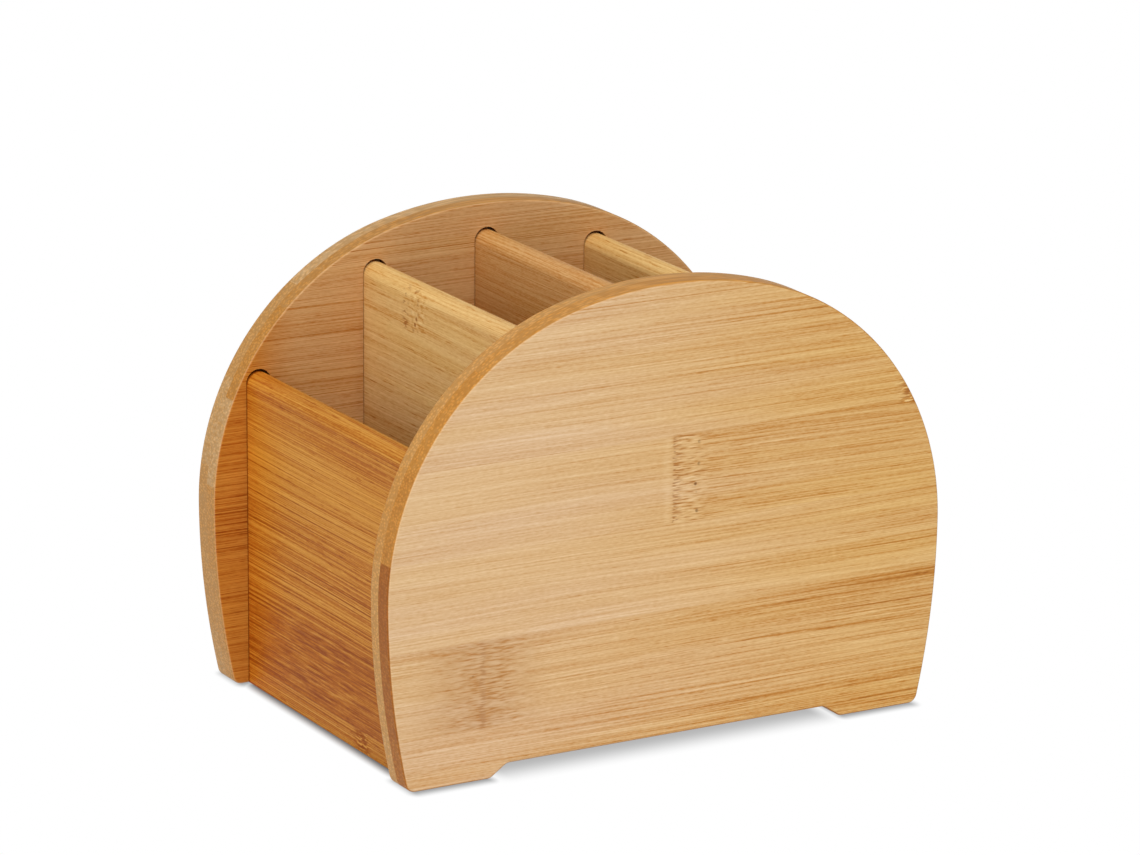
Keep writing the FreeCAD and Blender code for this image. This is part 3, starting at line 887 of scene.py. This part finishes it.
LOOKS = {
    "front_cheek_outer_ply": Look(
        seed=3.0, strips=CHEEK_STRIPS, tone=0.625, contrast=0.76, far_tint=GOLD_TINT,
        drift=(-50.0, 70.0, -0.08, 0.36),
        bands=(
            (37.5, 4.0, -20.0, 30.0, 0.06), (33.0, 3.0, -30.0, 60.0, -0.17), (76.4, 0.9, -4.0, 2.0, -0.12),
        ),
        marks=(
            ("crisp", 0.0, 55.2, 76.4), ("soft", -50.2, 12.8, 34.0), ("flecked", 67.0, 76.0, 82.5),
        ),
    ),
    # The inner plies carry a painted highlight along their eased arris.
    "front_cheek_inner_ply": Look(seed=11.0, strips=FRONT_INNER_STRIPS, tint=INNER_TINT, arris_highlight=0.15),
    # Its far tint is painted shade and bounce light about the corner with the left end wall.
    "rear_cheek_inner_ply": Look(
        seed=19.0, strips=REAR_INNER_STRIPS, tone=0.575, contrast=1.5, reach=1.6, tint=INNER_TINT,
        far_tint=REAR_CORNER_BOUNCE_TINT, drift=(-50.0, -66.0, 0.01, 0.35), edge_tint=REAR_EDGE_TINT, arris_highlight=0.2,
    ),
    "rear_cheek_outer_ply": Look(
        seed=27.0, strips=REAR_OUTER_STRIPS, tone=0.60, contrast=0.8, far_tint=GOLD_TINT,
        drift=(60.0, -60.0, -0.08, 0.4), edge_tint=REAR_EDGE_TINT,
        marks=(("crisp", 22.0, 34.0, 55.2), ("soft", -38.0, 76.4, 97.6)),
    ),
    # Its far tint is painted bounce light in the corner by the rear cheek.
    "left_end_wall": Look(
        axes="YZX", seed=41.0, strips=WALL_STRIPS, tone=0.53, contrast=2.1, reach=2.0, tint=WALL_TINT,
        far_tint=WALL_CORNER_BOUNCE_TINT, drift=(12.0, 44.0, 0.03, 0.0), upright=True, seam=0.8, bands=WALL_BANDS,
        marks=(("flecked", -19.0, 0.5, 5.5), ("dashed", 2.0, 6.0, 25.0)),
    ),
    "right_end_wall": Look(
        axes="YZX", seed=53.0, strips=WALL_STRIPS, tone=0.53, contrast=2.1, reach=2.0, tint=WALL_TINT,
        upright=True, seam=0.8, bands=WALL_BANDS, marks=(("crisp", 11.0, 26.2, 47.4),),
    ),
    "left_divider": Look(
        axes="YZX", seed=61.0, tone=0.58, dashes=2.0, tint=DIVIDER_TINT, upright=True, seam=0.3,
        marks=(("dotted", 9.0, 91.0, 101.0),),
    ),
    # Painted shade: a darker tone and tint, standing in for the shade of pens that are not built.
    "middle_divider": Look(axes="YZX", seed=73.0, tone=0.495, tint=MIDDLE_SHADED_TINT, upright=True, seam=0.3),
    "right_divider": Look(
        axes="YZX", seed=87.0, tone=0.58, dashes=2.0, tint=DIVIDER_TINT, upright=True, seam=0.3,
        marks=(("soft", -14.0, 55.2, 76.4),),
    ),
    "floor_panel": Look(axes="XYZ", seed=95.0, tone=0.50, tint=INNER_TINT),
}


# Stage

FLOOR_HALF_WIDTH = 3.0
FLOOR_SEEN_COLOUR = (0.52, 0.52, 0.52)
FLOOR_LIFT = 0.45
# Grey of the painted contact shadow on the floor.
CONTACT_SHADOW_COLOUR = (0.12, 0.12, 0.12)
# How strong the painted shadow is about the feet and before the recess, where the end walls have 1.
SOLE_SHADE = 0.75
RECESS_SHADE = 0.6
KEY_PLACE = (-0.3, -1.1, 1.9)
KEY_SIZE = 1.1
FILL_PLACE = (-1.6, -0.3, 0.7)
FILL_SIZE = 1.2


def foot_span():
    """Where the sole of the right foot starts and ends along X."""
    sole = [point.x for point, _ in cheek_outline() if point.x > 0.0 and point.y < ON_TABLE]
    return min(sole), max(sole)


def contact_shade(sheet, side, depth):
    """Painted shadow: how dark the floor is close beside the end walls, about the feet and before the
    recess.
    """
    stage = staging()
    foot_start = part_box("rear_cheek_inner_ply")[0].y
    sole_start, sole_end = foot_span()
    beside = sheet.plus(side, -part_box("right_end_wall")[1].x)
    ahead = sheet.plus(depth, -CAD_BOX[1].y)
    wall = sheet.times(
        sheet.rise(beside, -stage.contact_reach, 0.0),
        sheet.rise(beside, stage.contact_reach, -stage.contact_blur),
        sheet.rise(depth, foot_start + stage.contact_reach, foot_start - stage.contact_reach),
    )
    along = sheet.most(0.0, sheet.plus(side, -sole_end), sheet.math("SUBTRACT", sole_start, side))
    off = sheet.most(0.0, ahead, sheet.math("SUBTRACT", foot_start, depth))
    narrowed = sheet.times(along, stage.sole_reach / stage.contact_reach)
    gap = sheet.math("SQRT", sheet.plus(sheet.times(narrowed, narrowed), sheet.times(off, off)))
    sole = sheet.times(sheet.rise(gap, stage.sole_reach, -stage.contact_blur), SOLE_SHADE)
    recess = sheet.times(
        sheet.rise(ahead, stage.shadow_reach, -stage.shadow_start),
        sheet.rise(side, sole_start, sole_start - stage.shadow_reach),
        RECESS_SHADE,
    )
    return sheet.most(wall, sole, recess)


def whiteness(sheet, side, depth):
    """How far the floor has turned white: 0 under the holder, 1 away from it."""
    stage = staging()
    # The white sets in this far inside the cheeks' outer faces.
    inset = 2.0 * stage.shadow_start
    beside = sheet.most(0.0, sheet.plus(side, -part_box("right_end_wall")[1].x))
    before = sheet.most(0.0, sheet.plus(depth, inset - CAD_BOX[1].y))
    away = sheet.times(beside, stage.shadow_reach / stage.contact_reach)
    reach = sheet.math("SQRT", sheet.plus(sheet.times(away, away), sheet.times(before, before)))
    return sheet.rise(reach, 0.0, stage.shadow_reach)


def floor_material():
    """A pale floor that shows white to the camera, keeps the holder's lit shadow close about it and adds a
    painted contact shadow.
    """
    material = bpy.data.materials.new("studio_floor")
    material.use_nodes = True
    sheet = NodeSheet(material.node_tree)
    path = sheet.add("ShaderNodeLightPath")
    kinds = ("Is Camera Ray", "Is Glossy Ray", "Is Transmission Ray")
    seen = sheet.most(*(path.outputs[kind] for kind in kinds))
    places = sheet.add("ShaderNodeSeparateXYZ")
    sheet.feed(places.inputs["Vector"], sheet.add("ShaderNodeTexCoord").outputs["Object"])
    side, depth = (sheet.math("ABSOLUTE", places.outputs[axis]) for axis in "XY")
    paint = sheet.add("ShaderNodeBsdfDiffuse")
    colours = sheet.mix(seen, tuple(staging().floor_colour), FLOOR_SEEN_COLOUR)
    sheet.feed(paint.inputs["Color"], colours)
    near = sheet.add("ShaderNodeAddShader")
    sheet.feed(near.inputs[0], paint.outputs["BSDF"])
    sheet.feed(near.inputs[1], sheet.emission(WHITE, sheet.times(seen, FLOOR_LIFT)))
    white = sheet.times(seen, whiteness(sheet, side, depth))
    floor = sheet.blend(white, near.outputs["Shader"], sheet.emission(WHITE))
    # Painted contact shadow beside the end walls, about the feet and before the recess.
    contact = sheet.times(seen, contact_shade(sheet, side, depth))
    floor = sheet.blend(contact, floor, sheet.emission(CONTACT_SHADOW_COLOUR))
    output = sheet.add("ShaderNodeOutputMaterial")
    sheet.feed(output.inputs["Surface"], floor)
    return material


def build_floor():
    """A wide level floor under the holder."""
    half = FLOOR_HALF_WIDTH
    mesh = bpy.data.meshes.new("studio_floor")
    corners = [(-half, -half, 0.0), (half, -half, 0.0), (half, half, 0.0), (-half, half, 0.0)]
    mesh.from_pydata(corners, [], [(0, 1, 2, 3)])
    floor = bpy.data.objects.new("studio_floor", mesh)
    floor.data.materials.append(floor_material())
    bpy.context.scene.collection.objects.link(floor)


def build_world():
    """Even pale light from all round, and white behind the floor."""
    stage = staging()
    world = bpy.data.worlds.new("studio_room")
    world.use_nodes = True
    bpy.context.scene.world = world
    sheet = NodeSheet(world.node_tree)
    path = sheet.add("ShaderNodeLightPath")
    strength = sheet.plus(
        stage.room_light, sheet.times(path.outputs["Is Camera Ray"], 1.0 - stage.room_light)
    )
    backdrop = sheet.add("ShaderNodeBackground")
    sheet.feed(backdrop.inputs["Strength"], strength)
    backdrop.inputs["Color"].default_value = (*WHITE, 1.0)
    output = sheet.add("ShaderNodeOutputWorld")
    sheet.feed(output.inputs["Surface"], backdrop.outputs["Background"])


def soft_light(name, place, aim, size, power):
    """A square soft light that looks at a point."""
    lamp = bpy.data.lights.new(name, "AREA")
    lamp.shape = "SQUARE"
    lamp.size = size
    lamp.energy = power
    light = bpy.data.objects.new(name, lamp)
    light.location = place
    light.rotation_mode = "QUATERNION"
    light.rotation_quaternion = (Vector(aim) - Vector(place)).to_track_quat("-Z", "Y")
    bpy.context.scene.collection.objects.link(light)


def build_camera():
    """A camera at the photograph's viewing angle and framing."""
    stage = staging()
    low, high = CAD_BOX
    middle = (low + high) / 2
    back = Vector((
        math.sin(stage.azimuth) * math.cos(stage.elevation),
        -math.cos(stage.azimuth) * math.cos(stage.elevation),
        math.sin(stage.elevation),
    ))
    turn = (-back).to_track_quat("-Z", "Y") @ Quaternion((0.0, 0.0, 1.0), stage.roll)
    aim = middle + turn @ Vector((stage.aim_side, stage.aim_lift, 0.0))
    data = bpy.data.cameras.new("photo_camera")
    data.sensor_width = stage.sensor
    data.lens = stage.lens
    camera = bpy.data.objects.new("photo_camera", data)
    camera.rotation_mode = "QUATERNION"
    camera.rotation_quaternion = turn
    camera.location = aim + back * stage.distance
    bpy.context.scene.collection.objects.link(camera)
    bpy.context.scene.camera = camera


# Operators, panel and run


class PENHOLDER_OT_cheeks(bpy.types.Operator):
    """Make the four plies of the arched cheeks"""

    bl_idname = "pen_holder.cheeks"
    bl_label = "Cheeks"

    def execute(self, context):
        for end in ("front", "rear"):
            for layer in ("outer", "inner"):
                node = f"{end}_cheek_{layer}_ply"
                material = bamboo(f"{end}_{layer}_bamboo", LOOKS[node])
                cheek_ply(node, f"{end}_cheek_{layer}_board", end, layer, material)
        return {"FINISHED"}


class PENHOLDER_OT_uprights(bpy.types.Operator):
    """Make the end walls and the dividers"""

    bl_idname = "pen_holder.uprights"
    bl_label = "Uprights"

    def execute(self, context):
        for node in UPRIGHT_NODES:
            upright(node, node + "_board", bamboo(node + "_bamboo", LOOKS[node]))
        return {"FINISHED"}


class PENHOLDER_OT_floor_panel(bpy.types.Operator):
    """Make the floor of the compartments"""

    bl_idname = "pen_holder.floor_panel"
    bl_label = "Floor panel"

    def execute(self, context):
        floor_board("floor_panel_board", bamboo("floor_panel_bamboo", LOOKS["floor_panel"]))
        return {"FINISHED"}


class PENHOLDER_OT_stage(bpy.types.Operator):
    """Set up the floor, the lights and the camera"""

    bl_idname = "pen_holder.stage"
    bl_label = "Stage"

    def execute(self, context):
        stage = context.scene.pen_holder_stage
        context.scene.view_settings.view_transform = "Standard"
        build_floor()
        build_world()
        low, high = CAD_BOX
        aim = (low + high) / 2
        soft_light("key_light", KEY_PLACE, aim, KEY_SIZE, stage.key_power)
        soft_light("fill_light", FILL_PLACE, aim, FILL_SIZE, stage.fill_power)
        build_camera()
        return {"FINISHED"}


class PENHOLDER_PT_panel(bpy.types.Panel):
    """Lists the holder's pieces and settings"""

    bl_label = "Pen Holder"
    bl_idname = "PENHOLDER_PT_panel"
    bl_space_type = "VIEW_3D"
    bl_region_type = "UI"
    bl_category = "Pen Holder"

    def draw(self, context):
        for operator in OPERATORS:
            self.layout.operator(operator.bl_idname)
        for group in ("pen_holder_sizes", "pen_holder_finish", "pen_holder_stage"):
            settings = getattr(context.scene, group)
            box = self.layout.box()
            for name in settings.bl_rna.properties.keys():
                if name not in ("rna_type", "name"):
                    box.prop(settings, name)


OPERATORS = (PENHOLDER_OT_cheeks, PENHOLDER_OT_uprights, PENHOLDER_OT_floor_panel, PENHOLDER_OT_stage)
GROUPS = {
    "pen_holder_sizes": PenHolderSizes,
    "pen_holder_finish": PenHolderFinish,
    "pen_holder_stage": PenHolderStage,
}


def register():
    """Adds the classes and the settings to Blender."""
    for group in (*GROUPS.values(), *OPERATORS, PENHOLDER_PT_panel):
        bpy.utils.register_class(group)
    for name, group in GROUPS.items():
        setattr(bpy.types.Scene, name, PointerProperty(type=group))


def unregister():
    """Takes the settings and the classes out again."""
    for name in GROUPS:
        delattr(bpy.types.Scene, name)
    for group in (PENHOLDER_PT_panel, *reversed(OPERATORS), *GROUPS.values()):
        bpy.utils.unregister_class(group)


def main():
    """Builds the holder and its stage."""
    register()
    bpy.ops.pen_holder.cheeks()
    bpy.ops.pen_holder.uprights()
    bpy.ops.pen_holder.floor_panel()
    bpy.ops.pen_holder.stage()


if __name__ == "__main__":
    main()
